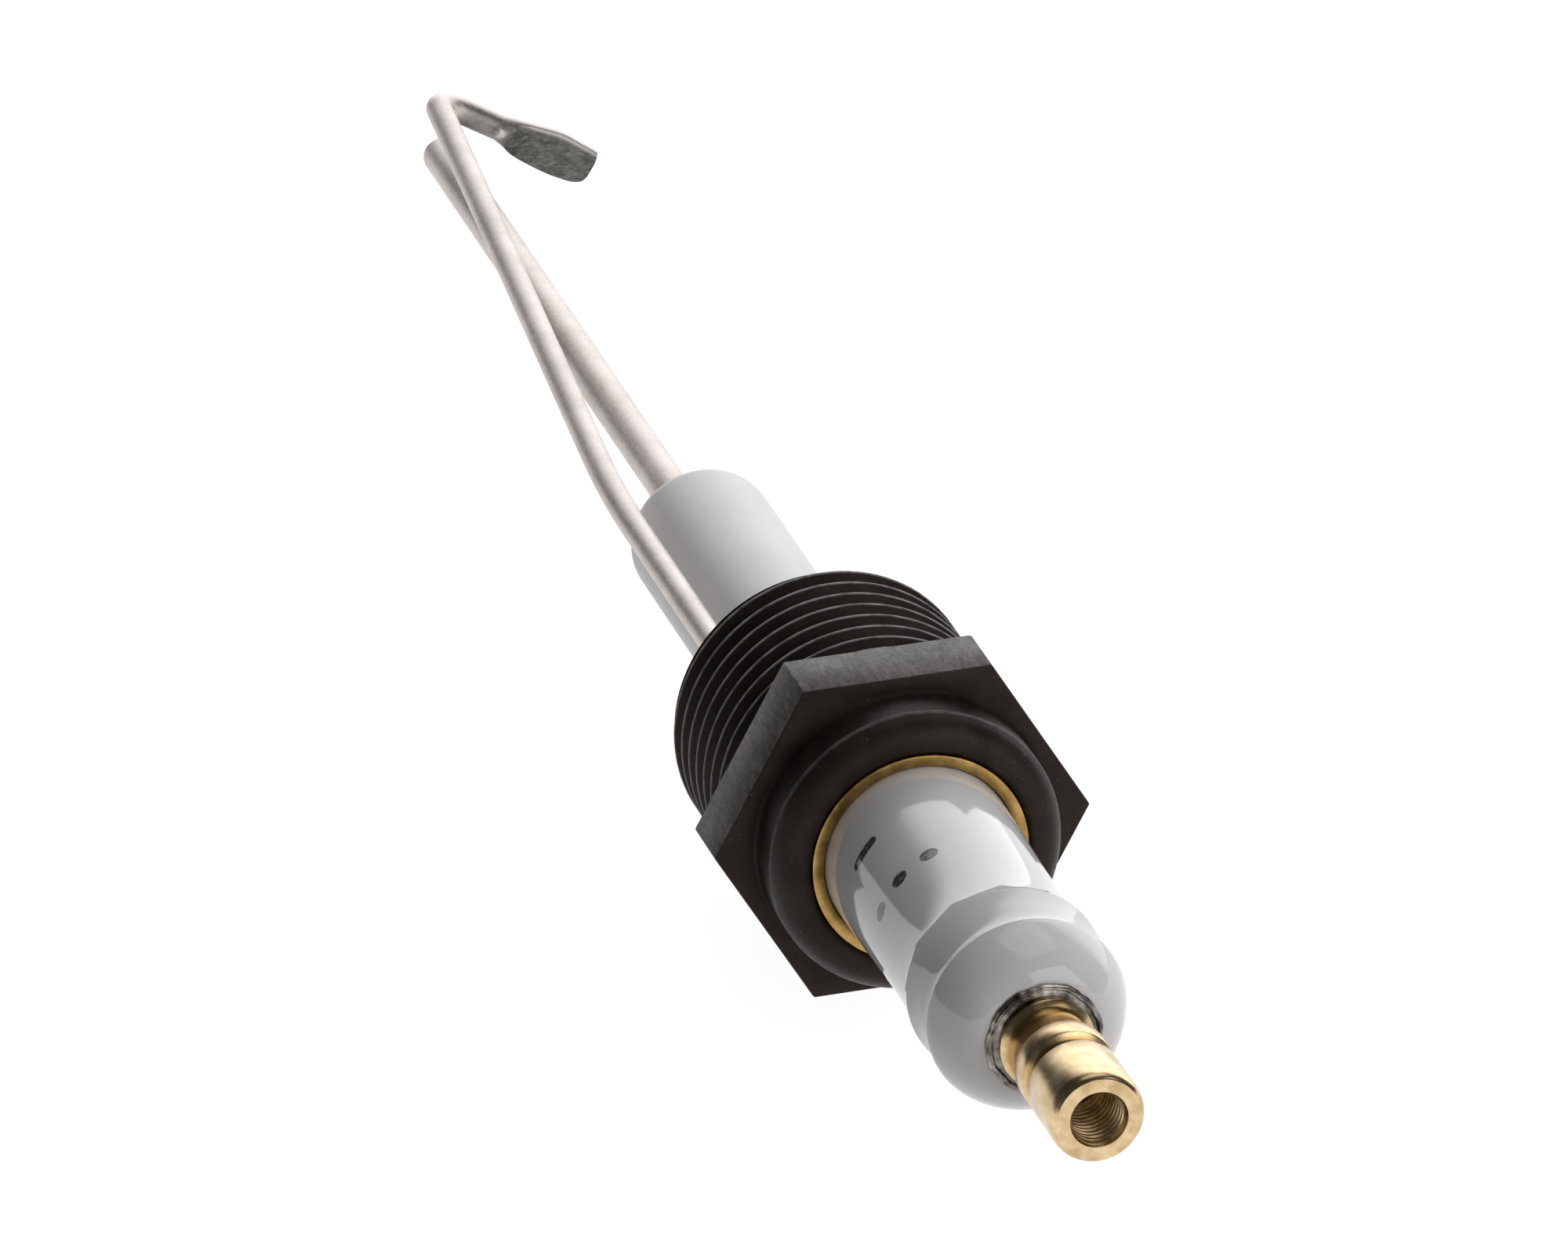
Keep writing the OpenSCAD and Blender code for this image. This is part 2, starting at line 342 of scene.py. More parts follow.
def porcelainMaterial(name):
    material = newMaterial(name, {"Specular IOR Level": 0.5, "Coat IOR": 1.55})
    point = pointIn(material)
    x, y, z = partsOf(material, point)[:3]
    # firing tint and small dark specks
    cloud = noiseOf(material, point, glaze["cloudSize"], 3)
    body = blendColours(material, spread(material, cloud, 0.3, 0.7), glaze["shade"], glaze["body"])
    speck = spread(material, noiseOf(material, point, glaze["speckSize"], 1, 0.4), 0.765, 0.80)
    body = blendColours(material, product(material, speck, glaze["speckAmount"]), body, glaze["speck"])
    # printed batch marks: a bar and a row of dots round the tail
    angle = calc(material, "ARCTAN2", z, x)
    ink = 0.0
    for mark in glaze["marks"]:
        ink = calc(material, "MAXIMUM", ink, printedMark(material, angle, y, mark))
    patchy = spread(material, noiseOf(material, point, 0.35, 3), 0.25, 0.55, 0.55, 0.95)
    colour = blendColours(material, product(material, ink, patchy), body, glaze["ink"])
    connect(material, colour, "Base Color")
    # glossy on the tail and matt on the nose, which goes unglazed into the flame
    matt = product(material, spread(material, y, *glaze["mattFrom"]), glaze["matt"])
    gloss = spread(material, noiseOf(material, point, 0.5, 2), 0.2, 0.8, *glaze["gloss"])
    connect(material, calc(material, "ADD", gloss, matt), "Roughness")
    roughen(material, noiseOf(material, point, 2.2, 2), 0.05, 0.05)
    return material


def alloyMaterial(name, colours, roughness, grainSize, stretch, strength, grainShare=0.5, hammered=None):
    # drawn or hammered metal: grain that runs along the piece, and slow changes of tone
    material = newMaterial(name, {"Metallic": 1.0})
    grain = noiseOf(material, pointIn(material, stretch), grainSize, 4, 0.65)
    cloud = noiseOf(material, pointIn(material), 3.5, 3)
    tone = weigh(material, grain, cloud, grainShare)
    colour = blendColours(material, spread(material, tone, 0.36, 0.64), *colours)
    if hammered:
        # the worked end is darker and streaked, by how far each vertex was hammered
        worked = addNode(material, "Attribute", None, attribute_name="hammered").outputs["Fac"]
        streak = noiseOf(material, pointIn(material, (0.45, 1, 1)), 0.28, 5, 0.75)
        mottle = spread(material, weigh(material, streak, cloud, 0.7), 0.36, 0.72)
        dull = blendColours(material, mottle, *hammered)
        colour = blendColours(material, worked, colour, dull)
    connect(material, colour, "Base Color")
    connect(material, spread(material, grain, 0.25, 0.75, *roughness), "Roughness")
    roughen(material, grain, strength, 0.03)
    return material


def turnedMetal(name, colours, roughness, ringSize, strength, recessShade=None):
    # lathe marks: fine rings along the axis, broken by a little noise
    material = newMaterial(name, {"Metallic": 1.0})
    point = pointIn(material)
    station, radius = partsOf(material, point)[1], radiusIn(material)
    reach = calc(material, "ADD", station, product(material, radius, 0.9))
    wobble = product(material, noiseOf(material, point, 1.2, 2), 0.25)
    spun = addNode(material, "CombineXYZ", {0: calc(material, "ADD", reach, wobble)}).outputs[0]
    rings = noiseOf(material, spun, ringSize, 3, 0.7)
    cloud = noiseOf(material, point, 1.3, 4, 0.6)
    colour = blendColours(material, spread(material, cloud, 0.3, 0.7), *colours)
    if recessShade:
        # painted shade and painted reflection: the neck and the grooves are coloured a darker amber for their
        # shadow and the warm light that bounces in them
        recessShadeShare = spread(material, radius, *recessShade["radii"], 0.0, recessShade["amount"])
        recessShadeShare = product(material, recessShadeShare, spread(material, station, *recessShade["stations"]))
        colour = blendColours(material, recessShadeShare, colour, recessShade["colour"])
    connect(material, colour, "Base Color")
    tone = weigh(material, rings, cloud, 0.6)
    connect(material, spread(material, tone, 0.3, 0.7, *roughness), "Roughness")
    roughen(material, rings, strength, 0.02)
    return material


def powderMaterial(name, colours, grainSize, roughness, strength):
    # pressed powder, cement or glass: a mottled body with a grainy surface
    material = newMaterial(name, {})
    point = pointIn(material)
    grain = noiseOf(material, point, grainSize, 5, 0.7)
    cloud = noiseOf(material, point, grainSize * 6, 3)
    tone = weigh(material, grain, cloud, 0.5)
    connect(material, blendColours(material, spread(material, tone, 0.38, 0.62), *colours), "Base Color")
    connect(material, spread(material, grain, 0.25, 0.75, *roughness), "Roughness")
    roughen(material, grain, strength, 0.05)
    return material


blackOxide = oxideMaterial("blackOxide", (0.11, 0.11, 0.11), "rim", 0.22)
threadOxide = oxideMaterial("threadOxide", (0.26, 0.26, 0.255), "crests", 0.22)
milledFlats = oxideMaterial("milledFlats", (0.195, 0.180, 0.170), "flats", 0.28)
glazedPorcelain = porcelainMaterial("glazedPorcelain")

# colours low to high, roughness low to high, grain size in millimetres and its stretch, and bump strength
drawnWire = {
    "colours": [(0.49, 0.447, 0.414), (0.70, 0.652, 0.618)], "roughness": (0.42, 0.56), "grainSize": 0.16,
    "stretch": (1, 0.3, 1), "strength": 0.5, "grainShare": 0.72,
}
hammeredTones = [(0.060, 0.056, 0.051), (0.22, 0.212, 0.198)]
electrodeAlloy = alloyMaterial("electrodeAlloy", **drawnWire)
groundAlloy = alloyMaterial("groundAlloy", **drawnWire, hammered=hammeredTones)
weldTones = [(0.10, 0.085, 0.10), (0.42, 0.36, 0.28)]
weldSteel = alloyMaterial("weldSteel", weldTones, (0.25, 0.5), 0.35, (1, 1, 1), 0.8)
steelTones = [(0.40, 0.39, 0.38), (0.56, 0.55, 0.54)]
plainSteel = alloyMaterial("plainSteel", steelTones, (0.28, 0.45), 0.2, (1, 1, 1), 0.4)

# colours, roughness, width of the lathe rings, and bump strength
terminalTones = [(0.52, 0.365, 0.185), (0.76, 0.585, 0.35)]
# painted shade and painted reflection: a dark amber colour laid into the terminal's neck and grooves
terminalRecessShade = {
    "colour": (0.34, 0.185, 0.045), "amount": 0.85, "radii": (3.04, 2.66), "stations": (-45.7, -45.3),
}
terminalBrass = turnedMetal("terminalBrass", terminalTones, (0.17, 0.30), 0.05, 0.25, terminalRecessShade)
tappedTones = [(0.34, 0.22, 0.10), (0.84, 0.66, 0.40)]
tappedBrass = turnedMetal("tappedBrass", tappedTones, (0.34, 0.48), 0.05, 0.25)
crimpTones = [(0.30, 0.185, 0.055), (0.52, 0.34, 0.12)]
crimpBrass = turnedMetal("crimpBrass", crimpTones, (0.26, 0.46), 0.12, 0.35)
nickelTones = [(0.06, 0.05, 0.042), (0.36, 0.33, 0.30)]
washerNickel = turnedMetal("washerNickel", nickelTones, (0.12, 0.28), 0.10, 0.7)
copperTones = [(0.60, 0.28, 0.16), (0.78, 0.42, 0.26)]
copperWasher = turnedMetal("copperWasher", copperTones, (0.28, 0.42), 0.10, 0.3)

# colours, grain size, roughness, and bump strength
talcTones = [(0.62, 0.60, 0.52), (0.80, 0.78, 0.70)]
pressedTalc = powderMaterial("pressedTalc", talcTones, 0.25, (0.75, 0.95), 0.5)
cementTones = [(0.48, 0.45, 0.38), (0.68, 0.65, 0.57)]
potCement = powderMaterial("potCement", cementTones, 0.18, (0.7, 0.92), 0.6)
glassTones = [(0.05, 0.06, 0.065), (0.12, 0.14, 0.145)]
sealingGlass = powderMaterial("sealingGlass", glassTones, 0.6, (0.06, 0.16), 0.15)
print("materials made")


def makeBody():
    body = {
        "pitch": 1.814, "crest": 10.48, "threadDepth": 1.16, "crestFlat": 0.22, "rootFlat": 0.24,
        "crestEdge": 0.04, "threadFoot": -1.5, "chamfer": 1.1, "chamferDrop": 0.75,
        "hexBack": -5.1, "hexBevel": 0.12,
        # the collar: straight wall, concave foot that meets the hexagon at footTurn degrees, rolled lip
        "wall": 9.95, "wallEnd": -8.0, "wallEdge": 0.1, "fillet": 0.7, "footTurn": 132, "lipRadius": 7.45,
        "boreRadius": 8.0, "frontBore": 5.65, "frontEdge": 0.25, "seatStation": 6.0, "lipShoulder": 1.0,
    }
    low, high = boxOf("hex_body")
    collarEnd, shankEnd, flats = low.y, high.y, high.z - low.z
    crest, root, hexBack = body["crest"], body["crest"] - body["threadDepth"], body["hexBack"]
    tooth = toothOutline(crest, root, body["pitch"], body["crestFlat"], body["rootFlat"], body["crestEdge"])
    piece = threadPiece("threaded_body", tooth, body["pitch"], body["threadFoot"] - 0.5, shankEnd + 0.5)
    # the shank's end: cut square, and chamfered so that the thread starts below its crest
    clear = 0.3
    chamferStart = shankEnd - body["chamfer"] - clear * body["chamfer"] / body["chamferDrop"]
    sleeve = turnPiece("sleeve", [
        (0, body["threadFoot"]), (crest + clear, body["threadFoot"]), (crest + clear, chamferStart),
        (crest - body["chamferDrop"], shankEnd), (0, shankEnd)])
    combine(piece, sleeve, "INTERSECT")

    deselectAll()
    bpy.ops.mesh.primitive_cylinder_add(
        vertices=6, radius=flats / 2 / math.cos(math.pi / 6) * mm, depth=-hexBack * mm,
        location=(0, hexBack / 2 * mm, 0), rotation=(math.pi / 2, math.pi / 6, 0))
    hexagon = bpy.context.object
    bpy.ops.object.transform_apply(location=True, rotation=True, scale=True)
    editAll(hexagon)
    bpy.ops.mesh.bevel(offset=body["hexBevel"] * mm, segments=2, affect="EDGES")
    bpy.ops.object.mode_set(mode="OBJECT")

    wall, wallEdge, fillet, footTurn = body["wall"], body["wallEdge"], body["fillet"], body["footTurn"]
    footCentre = (wall + fillet, hexBack - fillet * math.sin(math.radians(footTurn)))
    foot = arcPoints(footCentre, fillet, footTurn - 6, 176, 8)  # it starts just inside the hexagon
    curl = flowPoints([
        (9.84, -8.22), (9.60, -8.68), (9.22, -9.10), (8.74, -9.38), (8.15, collarEnd), (7.70, -9.45),
        (body["lipRadius"], -9.22)])
    collar = turnPiece("collar", [
        (0, hexBack + 0.6), (foot[0][0], hexBack + 0.6), *foot,
        *arcPoints((wall - wallEdge, body["wallEnd"]), wallEdge, 0, -28, 4), *curl, (0, curl[-1][1])])
    combine(hexagon, collar, "UNION")
    combine(piece, hexagon, "UNION")

    lip, rear, front = body["lipRadius"], body["boreRadius"], body["frontBore"]
    shoulder, mouth = collarEnd + body["lipShoulder"], front + body["frontEdge"]
    bore = turnPiece("bore", [
        (0, collarEnd - 1), (lip, collarEnd - 1), (lip, shoulder), (rear, shoulder + 0.55),
        (rear, body["seatStation"]), (front, body["seatStation"]), (front, shankEnd - body["frontEdge"]),
        (mouth, shankEnd), (mouth, shankEnd + 1), (0, shankEnd + 1)])
    combine(piece, bore, "DIFFERENCE")
    finishPiece(piece, ["hex_body"], [blackOxide, threadOxide, milledFlats])
    for face in piece.data.polygons:
        centre = face.center / mm
        across = math.hypot(centre.x, centre.z)
        if centre.y > 0.05 and across > root - 0.2:
            face.material_index = 1
        elif hexBack < centre.y < 0 and abs(face.normal.y) < 0.3 and across > 10.9:
            face.material_index = 2


def makeCrimpRing():
    ring = {
        "inner": 6.55, "outer": 7.40, "edge": 0.12, "seat": 7.93, "seatFrom": 1.52, "coneFrom": 0.97,
        # out from the inner wall, in from the face
        "mouth": [(0.18, 0.05), (0.04, 0.12), (0, 0.3)],
    }
    low, high = boxOf("crimp_ring")
    inner, outer, edge, seat, face = ring["inner"], ring["outer"], ring["edge"], ring["seat"], low.y
    piece = turnPiece("crimp_ring_brass", [
        (inner, high.y), (seat, high.y), (seat, face + ring["seatFrom"]), (outer, face + ring["coneFrom"]),
        *arcPoints((outer - edge, face + edge), edge, 0, -90, 4),
        *[(inner + outward, face + inward) for outward, inward in ring["mouth"]]], closed=True)
    finishPiece(piece, ["crimp_ring"], [crimpBrass])


def makeInsulator():
    part = {
        "noseRadius": 5.05, "noseRound": 1.5, "flange": 7.8, "flangeFront": 5.2, "flangeBack": -3.0,
        "rear": 6.5, "rodBore": 1.55, "boreEdge": 0.25, "studBore": 2.6, "boreStep": -8.0, "tailRadius": 4.0,
        # radius and station down the tail: waist, first rib, groove, second rib, dome
        "grip": [
            (6.5, -9.5), (6.38, -15.0), (6.27, -20.0), (6.24, -23.5), (6.31, -26.0), (6.45, -27.8),
            (6.58, -28.75), (6.66, -29.09), (6.69, -29.17), (6.665, -29.27), (6.56, -29.68), (6.42, -30.3),
            (6.29, -31.1), (6.18, -31.9), (6.16, -32.6), (6.28, -33.2), (6.50, -33.70), (6.67, -33.94),
            (6.71, -34.02), (6.69, -34.11), (6.59, -34.5), (6.26, -35.35), (5.74, -36.35), (5.05, -37.25),
            (4.45, -37.72)],
    }
    low, high = boxOf("insulator")
    nose, tail = high.y, low.y
    noseRadius, noseRound, flange = part["noseRadius"], part["noseRound"], part["flange"]
    rodBore, studBore, step, edge = part["rodBore"], part["studBore"], part["boreStep"], part["boreEdge"]
    piece = turnPiece("ceramic_insulator", [
        (rodBore, step), (rodBore, nose - edge), (rodBore + edge, nose),
        *arcPoints((noseRadius - noseRound, nose - noseRound), noseRound, 90, 0, 12),
        (noseRadius, part["flangeFront"]), (flange, part["flangeFront"]),
        (flange, part["flangeBack"]), (part["rear"], part["flangeBack"]),
        *flowPoints([*part["grip"], (part["tailRadius"], tail)], 4), (studBore, tail), (studBore, step)],
        closed=True, steps=160)
    finishPiece(piece, ["insulator"], [glazedPorcelain])


def makeCentreRod():
    rod = {
        "radius": 1.35, "head": 2.2, "headThick": 1.4, "headEdge": 0.1, "headStation": -8.0,
        "tipRound": 0.55, "tipFlat": 0.4, "ringSpacing": 6,
    }
    tip = boxOf("centre_electrode")[1].y
    r, head, edge, tipRound = rod["radius"], rod["head"], rod["headEdge"], rod["tipRound"]
    front, back = rod["headStation"], rod["headStation"] - rod["headThick"]
    piece = turnPiece("centre_electrode_rod", [
        (0, back), (head - edge, back), (head, back + edge), (head, front), (r, front),
        *[(r, station) for station in range(0, int(tip) - 2, rod["ringSpacing"])],
        *arcPoints((r - tipRound, tip - tipRound), tipRound, 0, 72), (rod["tipFlat"], tip), (0, tip)],
        steps=48)
    finishPiece(piece, ["centre_electrode"], [electrodeAlloy], 40)


def easeBetween(value, start, end):
    share = min(max((value - start) / (end - start), 0), 1)
    return share * share * (3 - 2 * share)


def valueAlong(points, place):
    # reads a list of (place, value) points between its two nearest
    for (start, low), (end, high) in zip(points, points[1:]):
        if place <= end:
            return low + (high - low) * (place - start) / (end - start)
    return points[-1][1]


# the thin rod's radius, and where it stands on the body's front: distance off the axis and turn round it
groundFoot = {"radius": 0.925, "offset": 6.8, "turn": math.radians(149)}


def makeGroundRod():
    rod = {
        "foot": 24.5, "leanRadius": 150, "lean": 4.6, "leanHeading": 22, "run": 57.7,
        "hookRadius": 1.9, "hookHeading": -31, "leg": 3.4,
        "paddleLength": 7.4, "halfThick": 0.5, "neck": 2.4, "squareness": 0.55,
        # half widths of the hammered end against the way along it, above and below its middle line
        "upperEdge": [(0, 0.925), (1.0, 1.08), (2.5, 1.30), (4.5, 1.55), (6.2, 1.42), (7.4, 1.30)],
        "lowerEdge": [
            (0, 0.925), (0.8, 1.12), (1.9, 1.48), (4.4, 1.66), (6.3, 1.56), (7.0, 1.42), (7.4, 1.22)],
        "endBulge": 0.10, "upperCorner": 0.28, "lowerCorner": 0.45, "cornerFrom": 0.3,
        "pipReach": -0.1, "pipSize": 0.46, "pipHeight": 0.26,
        # how dull the leg is, where the leg and then the paddle turn dull, and the rubbed upper edge
        "legDull": 0.65, "legDullFrom": (-4.0, -2.7), "paddleDullFrom": (-0.3, 1.2),
        "rubbed": 0.8, "rubbedFrom": (0.72, 0.95), "margin": 3,
    }
    radius, turn = groundFoot["radius"], groundFoot["turn"]
    start = Vector((
        groundFoot["offset"] * math.cos(turn), boxOf("ground_electrode")[0].y,
        groundFoot["offset"] * math.sin(turn)))
    along, end = Vector((0, 1, 0)), start
    heading = math.radians(rod["leanHeading"])
    sideways = Vector((math.cos(heading), 0, math.sin(heading)))

    deselectAll()
    bpy.ops.mesh.primitive_circle_add(
        vertices=48, radius=radius * mm, location=start * mm, rotation=(math.pi / 2, 0, 0))
    piece = bpy.context.object
    piece.name = piece.data.name = "ground_electrode_rod"
    bpy.ops.object.transform_apply(location=True, rotation=True, scale=True)
    editAll(piece)

    def draw(length, steps):
        # a straight stretch from the selected end ring
        nonlocal end
        step = along * (length / steps * mm)
        for _ in range(steps):
            bpy.ops.mesh.extrude_edges_move(TRANSFORM_OT_translate={"value": step})
        end = end + along * length

    def bendTowards(side, bendRadius, degrees, steps):
        # the end ring is spun round the bend's centre; spin turns against its axis
        nonlocal along, end
        angle = math.radians(degrees)
        centre, axis = end + side * bendRadius, along.cross(side)
        bpy.ops.mesh.spin(steps=steps, angle=-angle, center=centre * mm, axis=axis)
        turned = Quaternion(axis, angle)
        end = centre + turned @ (end - centre)
        along = turned @ along
        return turned @ side

    draw(rod["foot"], 6)
    sideways = bendTowards(sideways, rod["leanRadius"], rod["lean"], 6)
    draw(rod["run"], 12)
    swing = math.radians(rod["leanHeading"] - rod["hookHeading"])
    hookSide = (Quaternion(along, swing) @ sideways).normalized()
    thickSide = along.copy()
    bendTowards(hookSide, rod["hookRadius"], 90, 14)
    draw(rod["leg"], 16)
    paddleStart, paddleAlong = end.copy(), along.copy()
    draw(rod["paddleLength"], 36)
    bpy.ops.mesh.fill()
    bpy.ops.object.mode_set(mode="OBJECT")

    # the hammered end: each ring of the last stretch is flattened and widened in place
    wideSide = paddleAlong.cross(thickSide)
    upper, lower = flowPoints(rod["upperEdge"], 8), flowPoints(rod["lowerEdge"], 8)
    worked = piece.data.attributes.new("hammered", "FLOAT", "POINT")
    for vertex in piece.data.vertices:
        away = vertex.co / mm - paddleStart
        if away.length > rod["paddleLength"] + rod["margin"]:
            continue
        reach, a, b = away.dot(paddleAlong), away.dot(wideSide), away.dot(thickSide)
        wide = a / radius
        dull = rod["legDull"] * easeBetween(reach, *rod["legDullFrom"])
        dull += (1 - rod["legDull"]) * easeBetween(reach, *rod["paddleDullFrom"])
        dull *= 1 - rod["rubbed"] * easeBetween(wide, *rod["rubbedFrom"])
        if reach > 0.01:
            flat = easeBetween(reach, 0, rod["neck"])
            halfThick = radius + (rod["halfThick"] - radius) * flat
            b = math.copysign(abs(b / radius) ** (1 - rod["squareness"] * flat), b) * halfThick
            a = wide * valueAlong(upper if a > 0 else lower, reach)
            tail = max(0, (reach - rod["neck"]) / (rod["paddleLength"] - rod["neck"]))
            corner = rod["upperCorner"] * max(0, wide - rod["cornerFrom"]) ** 2
            corner += rod["lowerCorner"] * max(0, -wide - rod["cornerFrom"]) ** 2
            reach += tail ** 3 * (rod["endBulge"] - corner)
        if b < 0:
            # a small pip of metal that the hammer raised at the neck
            pip = math.exp(-(math.hypot(reach - rod["pipReach"], a) / rod["pipSize"]) ** 4)
            b -= rod["pipHeight"] * pip
            dull *= 1 - pip
        worked.data[vertex.index].value = dull
        vertex.co = (paddleStart + paddleAlong * reach + wideSide * a + thickSide * b) * mm
    editAll(piece)
    bpy.ops.mesh.fill_holes(sides=0)
    finishPiece(piece, ["ground_electrode"], [groundAlloy], 40)


def makeWeld():
    bead = {"radius": 1.5, "boreRadius": 5.66, "wavyFrom": 0.94}
    low, high = boxOf("ground_weld")
    rodRadius, footTurn = groundFoot["radius"], groundFoot["turn"]
    foot = Vector((math.cos(footTurn), 0, math.sin(footTurn))) * groundFoot["offset"]
    piece = turnPiece("ground_weld_bead", [
        (rodRadius, low.y), (bead["radius"], low.y),
        *flowPoints([
            (bead["radius"], low.y + 0.04), (1.38, low.y + 0.2), (1.2, low.y + 0.36), (1.06, low.y + 0.5),
            (0.96, high.y)], 3),
        (rodRadius, high.y)], closed=True, steps=64)
    for vertex in piece.data.vertices:
        turn = math.atan2(vertex.co.z, vertex.co.x)
        if math.hypot(vertex.co.x, vertex.co.z) / mm > bead["wavyFrom"]:
            wave = 1 + 0.05 * math.sin(5 * turn) + 0.03 * math.sin(11 * turn + 1)
            lift = vertex.co.y / mm - low.y
            vertex.co.x *= wave
            vertex.co.z *= wave
            vertex.co.y = (low.y + lift * (1 + 0.12 * math.sin(7 * turn) - 0.12)) * mm
        vertex.co += foot * mm
    bore = turnPiece("bore", [
        (0, low.y - 1), (bead["boreRadius"], low.y - 1), (bead["boreRadius"], low.y + 2), (0, low.y + 2)])
    combine(piece, bore, "DIFFERENCE")
    finishPiece(piece, ["ground_weld"], [weldSteel], 50)


def makeTerminal():
    nut = {
        "radius": 3.175, "neck": 2.44, "groove": 2.48, "studRadius": 2.0, "holeEnd": -44.6,
        "threadMinor": 1.74, "threadMajor": 1.88, "pitch": 0.5,
    }
    low, high = boxOf("terminal_nut")
    r, end, base = nut["radius"], low.y, high.y
    # from the washer: collar, neck, rib, groove, and the barrel with its rounded end
    piece = turnPiece("terminal_nut_brass", [
        (0, base), (r - 0.15, base), (r, base - 0.15), (r, base - 0.55), (r - 0.1, base - 0.7),
        (2.86, base - 0.85),
        *flowPoints([
            (2.62, base - 1.1), (2.50, base - 1.5), (nut["neck"], base - 2.2), (2.47, -41.2),
            (2.70, -41.65)], 4),
        (r - 0.12, -41.95), (r - 0.03, -42.03), (r, -42.15), (r, -43.6), (r - 0.03, -43.72),
        (r - 0.12, -43.8),
        *flowPoints([
            (2.72, -43.95), (2.54, -44.12), (nut["groove"], -44.4), (2.54, -44.68), (2.74, -44.85)], 4),
        (r - 0.12, -45.02), (r - 0.03, -45.1), (r, -45.22),
        *flowPoints([(r, end + 0.85), (3.13, end + 0.5), (3.02, end + 0.22), (2.86, end + 0.05)], 4),
        (2.82, end), (0, end)])
    minor, major, stud, holeEnd = nut["threadMinor"], nut["threadMajor"], nut["studRadius"], nut["holeEnd"]
    hole = turnPiece("hole", [
        (0, end - 1), (2.3, end - 1), (1.95, end - 0.01), (1.83, end + 0.22), (minor, end + 0.42),
        (minor, holeEnd), (stud, holeEnd), (stud, base + 1), (0, base + 1)], steps=64)
    combine(piece, hole, "DIFFERENCE")
    # the tap runs on into the wider stud hole, so that no cut ends inside the metal
    tooth = toothOutline(major, minor - 0.05, nut["pitch"], 0.1, 0.12, 0.02)
    tap = threadPiece("tap", tooth, nut["pitch"], end - 0.5, holeEnd + 0.4, steps=48)
    combine(piece, tap, "DIFFERENCE")
    finishPiece(piece, ["terminal_nut"], [terminalBrass, tappedBrass])
    for face in piece.data.polygons:
        centre = face.center / mm
        if math.hypot(centre.x, centre.z) < major + 0.02 and centre.y > end + 0.2:
            face.material_index = 1


def makeBaseWasher():
    washer = {"bore": 2.02, "rim": 3.86, "wavyFrom": 3.2}
    low, high = boxOf("base_washer")
    piece = turnPiece("base_washer_nickel", [
        (washer["bore"], high.y), (washer["rim"], high.y),
        *arcPoints((3.78, high.y - 0.16), 0.13, 60, -60, 5), (3.76, high.y - 0.30),
        *arcPoints((3.66, high.y - 0.40), 0.12, 45, -70, 5), (3.60, high.y - 0.52),
        (3.55, low.y + 0.10), (3.42, low.y + 0.02), (2.6, low.y), (washer["bore"], low.y)],
        closed=True, steps=120)
    for vertex in piece.data.vertices:
        turn = math.atan2(vertex.co.z, vertex.co.x)
        if math.hypot(vertex.co.x, vertex.co.z) / mm > washer["wavyFrom"]:
            # an uneven rim, as a soft washer has after pressing
            wave = 1 + 0.010 * math.sin(6 * turn + 0.4) + 0.008 * math.sin(13 * turn)
            wave += 0.005 * math.sin(29 * turn)
            vertex.co.x *= wave
            vertex.co.z *= wave
    finishPiece(piece, ["base_washer"], [washerNickel], 40)


print("modelling")
makeBody()
makeCrimpRing()
makeInsulator()
makeCentreRod()
makeGroundRod()
makeWeld()
makeTerminal()
makeBaseWasher()

# the sealed inner parts keep their CAD shape
innerFinishes = {
    "seat_washer": copperWasher, "lower_packing_ring": plainSteel, "talc_packing": pressedTalc,
    "nose_cement": potCement, "glass_seal": sealingGlass, "terminal_stud": plainSteel,
    "stud_cement": potCement,
}
for node, material in innerFinishes.items():
    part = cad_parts[node]
    part.data.materials.clear()
    part.data.materials.append(material)
print("inner parts finished")


def makeFloor():
    floor = {"size": 12.0, "level": cadBox[0].z, "shade": 0.25, "glow": 0.96}
    deselectAll()
    bpy.ops.mesh.primitive_plane_add(size=floor["size"], location=(0, 0, floor["level"]))
    piece = bpy.context.object
    piece.name = "studio_floor"
    material = newMaterial("paleFloor", {
        "Base Color": (floor["shade"],) * 3 + (1,), "Roughness": 0.9, "Specular IOR Level": 0.1,
        "Emission Color": (1, 1, 1, 1), "Emission Strength": floor["glow"]})
    piece.data.materials.append(material)
    piece.visible_diffuse = False  # the glow from below comes from the world, so it stays soft


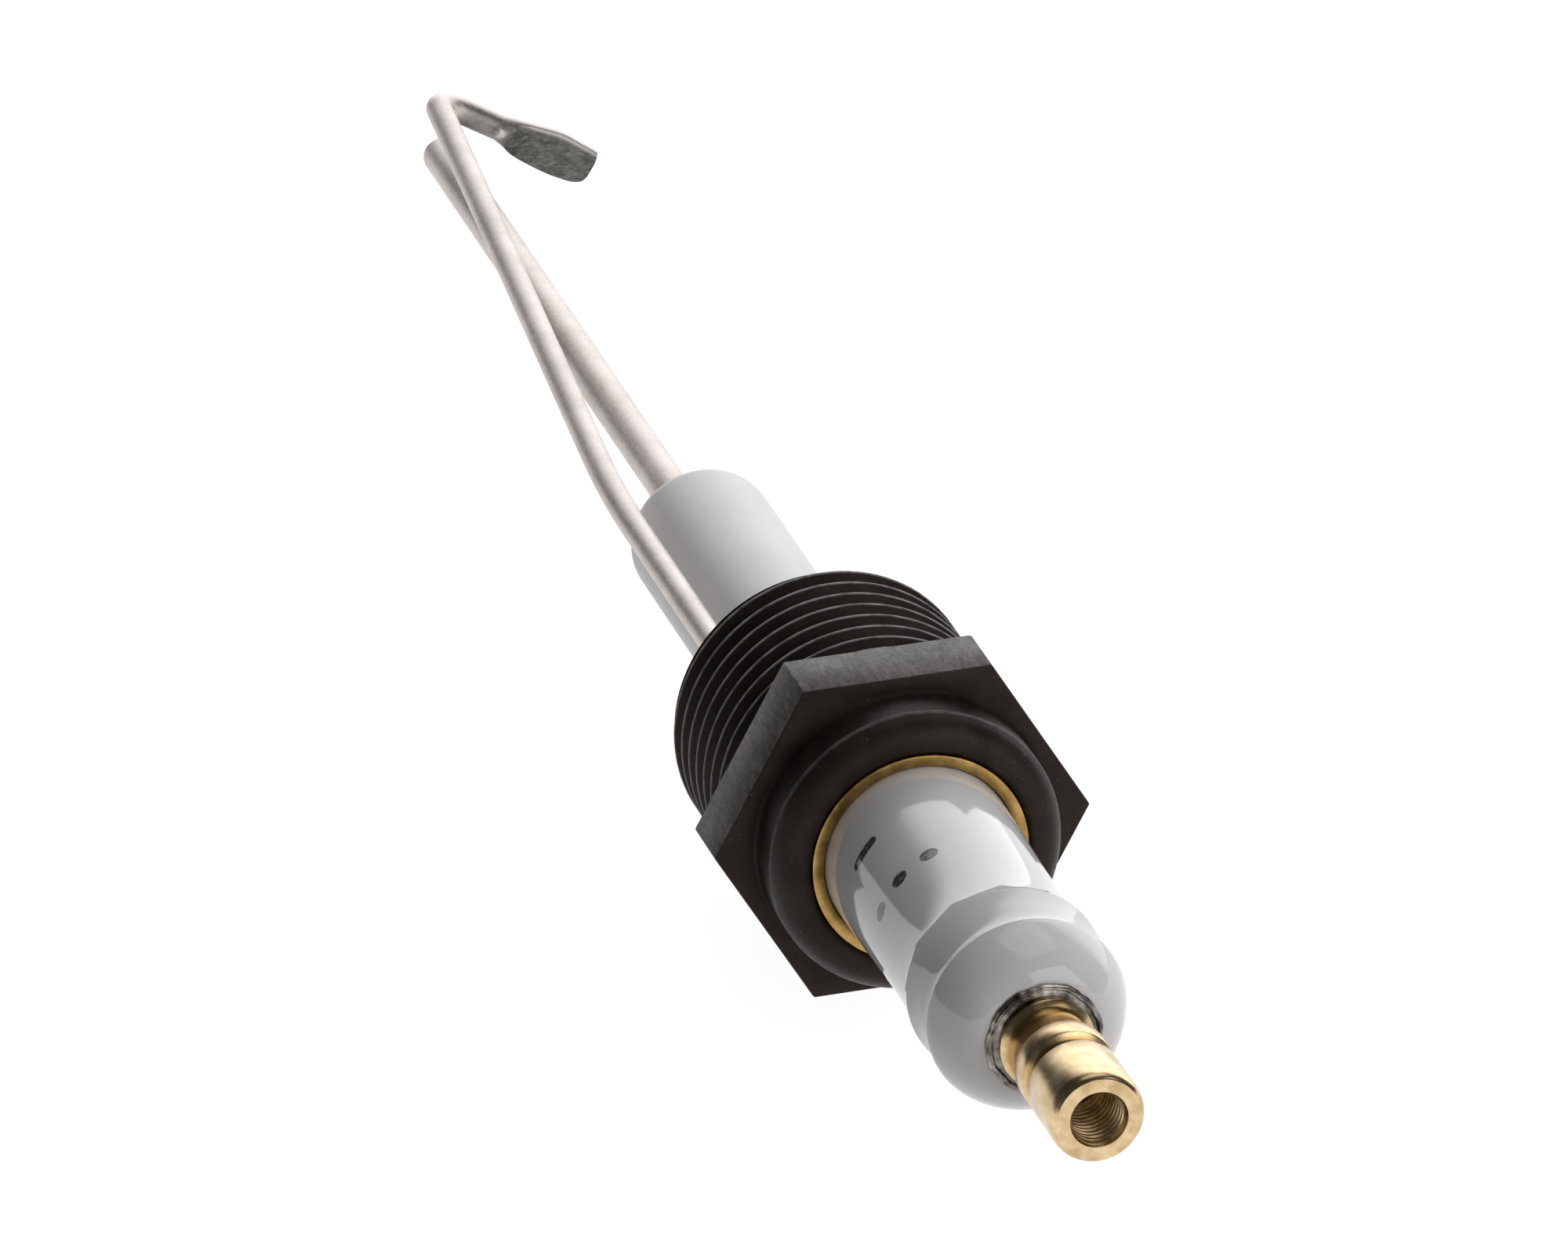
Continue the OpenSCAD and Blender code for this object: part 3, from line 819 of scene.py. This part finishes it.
def makeWorld():
    # a dark studio with a broad bright wall behind the object, to its right, and a soft glow from below
    sky = {
        "dim": (0.05, 0.05, 0.052), "low": (0.46, 0.455, 0.45), "bright": (2.1, 2.1, 2.14),
        "towards": (0.45, 0.88, 0.12), "from": 0.66, "to": 0.82, "horizon": (0.05, -0.35),
    }
    world = bpy.data.worlds.new("studioWorld")
    world.use_nodes = True
    bpy.context.scene.world = world
    background = world.node_tree.nodes["Background"]
    direction = addNode(world, "TexCoord").outputs["Generated"]
    towards = tuple(Vector(sky["towards"]).normalized())
    inputs = {0: direction, 1: towards}
    facing = addNode(world, "VectorMath", inputs, operation="DOT_PRODUCT").outputs["Value"]
    height = partsOf(world, direction)[2]
    ground = blendColours(world, spread(world, height, *sky["horizon"]), sky["dim"], sky["low"])
    colour = blendColours(world, spread(world, facing, sky["from"], sky["to"]), ground, sky["bright"])
    world.node_tree.links.new(colour, background.inputs["Color"])


def hangLight(name, place, aim, size, radiance):
    # a softbox of width and height in metres; its power follows from how bright its face is
    data = bpy.data.lights.new(name, "AREA")
    data.shape = "RECTANGLE"
    data.size, data.size_y = size
    data.energy = radiance * math.pi * size[0] * size[1]
    light = bpy.data.objects.new(name, data)
    light.location = place
    light.visible_camera = False
    light.rotation_mode = "QUATERNION"
    light.rotation_quaternion = (Vector(aim) - Vector(place)).to_track_quat("-Z", "Y")
    bpy.context.scene.collection.objects.link(light)


def makeCamera():
    shot = {
        "target": (-2.78, 13.13, 7.34), "distance": 1.3, "azimuth": -14.85, "elevation": 24.68,
        "roll": -1.956, "lens": 450, "sensor": 36, "clip": (0.05, 50),
    }
    azimuth, elevation = math.radians(shot["azimuth"]), math.radians(shot["elevation"])
    level = math.cos(elevation)
    back = Vector((math.sin(azimuth) * level, -math.cos(azimuth) * level, math.sin(elevation)))
    data = bpy.data.cameras.new("photographer")
    data.lens, data.sensor_width = shot["lens"], shot["sensor"]
    data.clip_start, data.clip_end = shot["clip"]
    camera = bpy.data.objects.new("photographer", data)
    camera.location = Vector(shot["target"]) * mm + back * shot["distance"]
    facing = (-back).to_track_quat("-Z", "Y")
    camera.rotation_mode = "QUATERNION"
    camera.rotation_quaternion = facing @ Quaternion((0, 0, 1), math.radians(shot["roll"]))
    bpy.context.scene.collection.objects.link(camera)
    bpy.context.scene.camera = camera


makeFloor()
makeWorld()
hangLight("frontSoftbox", (0.47, -0.84, 0.42), (0, 0, 0), (0.8, 0.8), 2.15)
hangLight("overheadSoftbox", (0.15, 0.10, 0.80), (0, 0.02, 0), (0.6, 0.6), 0.95)
makeCamera()
bpy.context.scene.view_settings.view_transform = "Standard"
print("stage, light and camera set")
